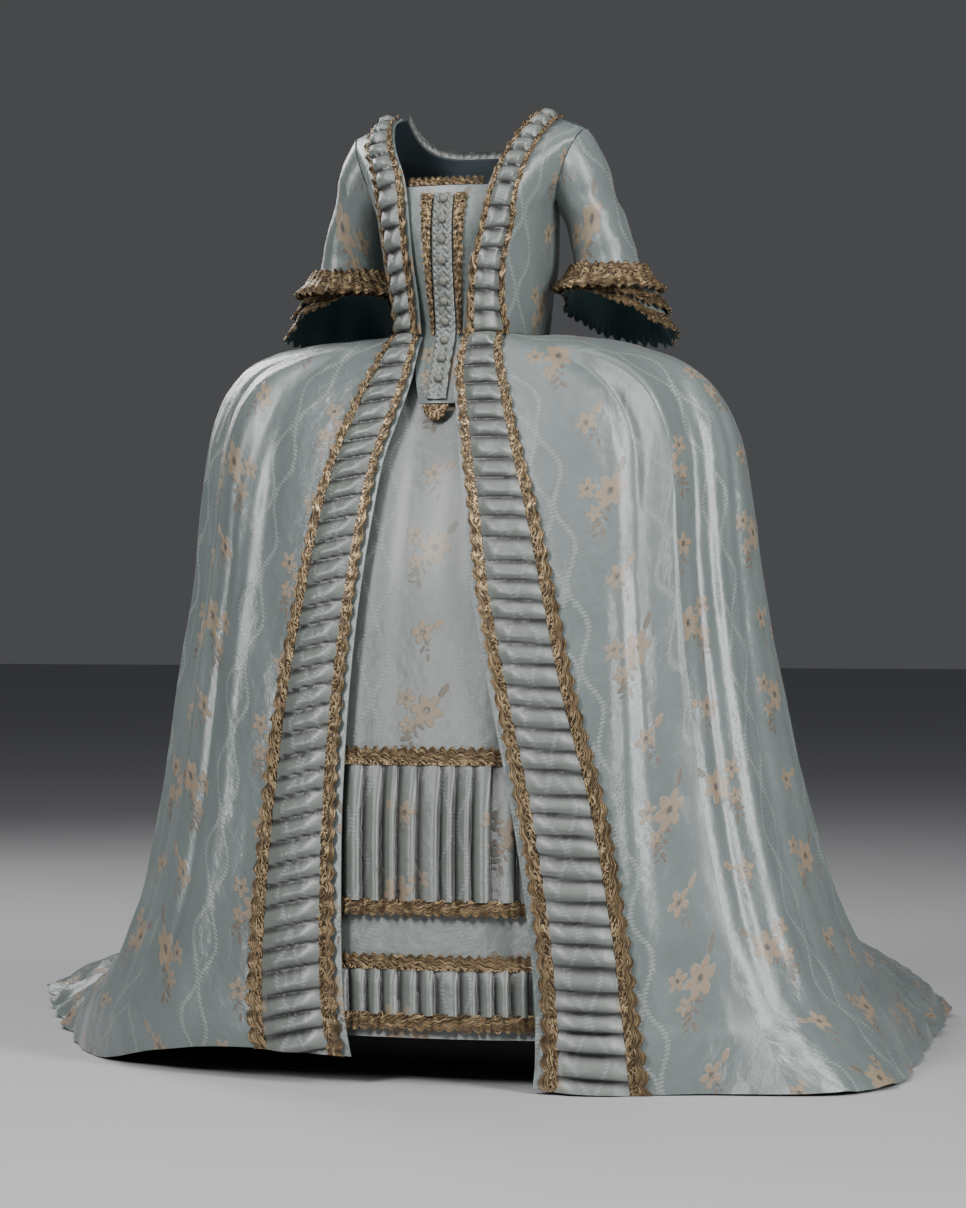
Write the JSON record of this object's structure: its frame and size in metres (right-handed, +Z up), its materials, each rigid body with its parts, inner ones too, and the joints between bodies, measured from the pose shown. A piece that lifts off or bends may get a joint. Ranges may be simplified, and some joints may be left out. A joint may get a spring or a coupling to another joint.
{
  "type": "robe a la francaise",
  "caption": "Open silk gown with a pleated sack back and train, worn over a stomacher and a flounced petticoat, with pleated robings and gold lace.",
  "frame": {"origin": "middle of the shoulder line, where the wearer holds the gown up; the floor is 1.36 m below", "axes": "+Z up, the front faces -Y, +X is the wearer's left"},
  "size_m": [1.5692, 1.473, 1.3786],
  "materials": {
    "brocaded_silk": "pale blue-grey satin brocaded with coppery sprigs",
    "petticoat_silk": "the same satin, for the petticoat",
    "lining": "dark blue matte lining",
    "gold_lace": "metal thread lace with a dull gold glint"
  },
  "bodies": {
    "root": {"back_lining": "lining", "bodice_front_left": "brocaded_silk", "bodice_front_right": "brocaded_silk", "button_01": "brocaded_silk", "button_02": "brocaded_silk", "button_03": "brocaded_silk", "button_04": "brocaded_silk", "button_05": "brocaded_silk", "button_06": "brocaded_silk", "button_07": "brocaded_silk", "button_08": "brocaded_silk", "button_09": "brocaded_silk", "button_10": "brocaded_silk", "cuff_heading_left": "gold_lace", "cuff_heading_right": "gold_lace", "cuff_lower_lace_left": "gold_lace", "cuff_lower_lace_right": "gold_lace", "cuff_lower_left": "brocaded_silk", "cuff_lower_right": "brocaded_silk", "cuff_upper_lace_left": "gold_lace", "cuff_upper_lace_right": "gold_lace", "cuff_upper_left": "brocaded_silk", "cuff_upper_right": "brocaded_silk", "flounce_lower": "brocaded_silk", "flounce_lower_edge": "gold_lace", "flounce_lower_head": "gold_lace", "flounce_upper": "brocaded_silk", "flounce_upper_edge": "gold_lace", "flounce_upper_head": "gold_lace", "lace_inner_bodice_left": "gold_lace", "lace_inner_bodice_right": "gold_lace", "lace_inner_skirt_left": "gold_lace", "lace_inner_skirt_right": "gold_lace", "lace_outer_bodice_left": "gold_lace", "lace_outer_bodice_right": "gold_lace", "lace_outer_skirt_left": "gold_lace", "lace_outer_skirt_right": "gold_lace", "neck_ruche": "brocaded_silk", "petticoat_back": "petticoat_silk", "petticoat_front": "petticoat_silk", "petticoat_side_left": "petticoat_silk", "petticoat_side_right": "petticoat_silk", "robing_bodice_left": "brocaded_silk", "robing_bodice_right": "brocaded_silk", "robing_skirt_left": "brocaded_silk", "robing_skirt_right": "brocaded_silk", "sack_back_left": "brocaded_silk", "sack_back_right": "brocaded_silk", "skirt_front_left": "brocaded_silk", "skirt_front_right": "brocaded_silk", "skirt_side_left": "brocaded_silk", "skirt_side_right": "brocaded_silk", "sleeve_left": "brocaded_silk", "sleeve_right": "brocaded_silk", "stomacher": "brocaded_silk", "stomacher_lace_left": "gold_lace", "stomacher_lace_right": "gold_lace", "stomacher_lace_top": "gold_lace", "stomacher_placket": "brocaded_silk", "stomacher_tab": "gold_lace"}
  },
  "joints": []
}
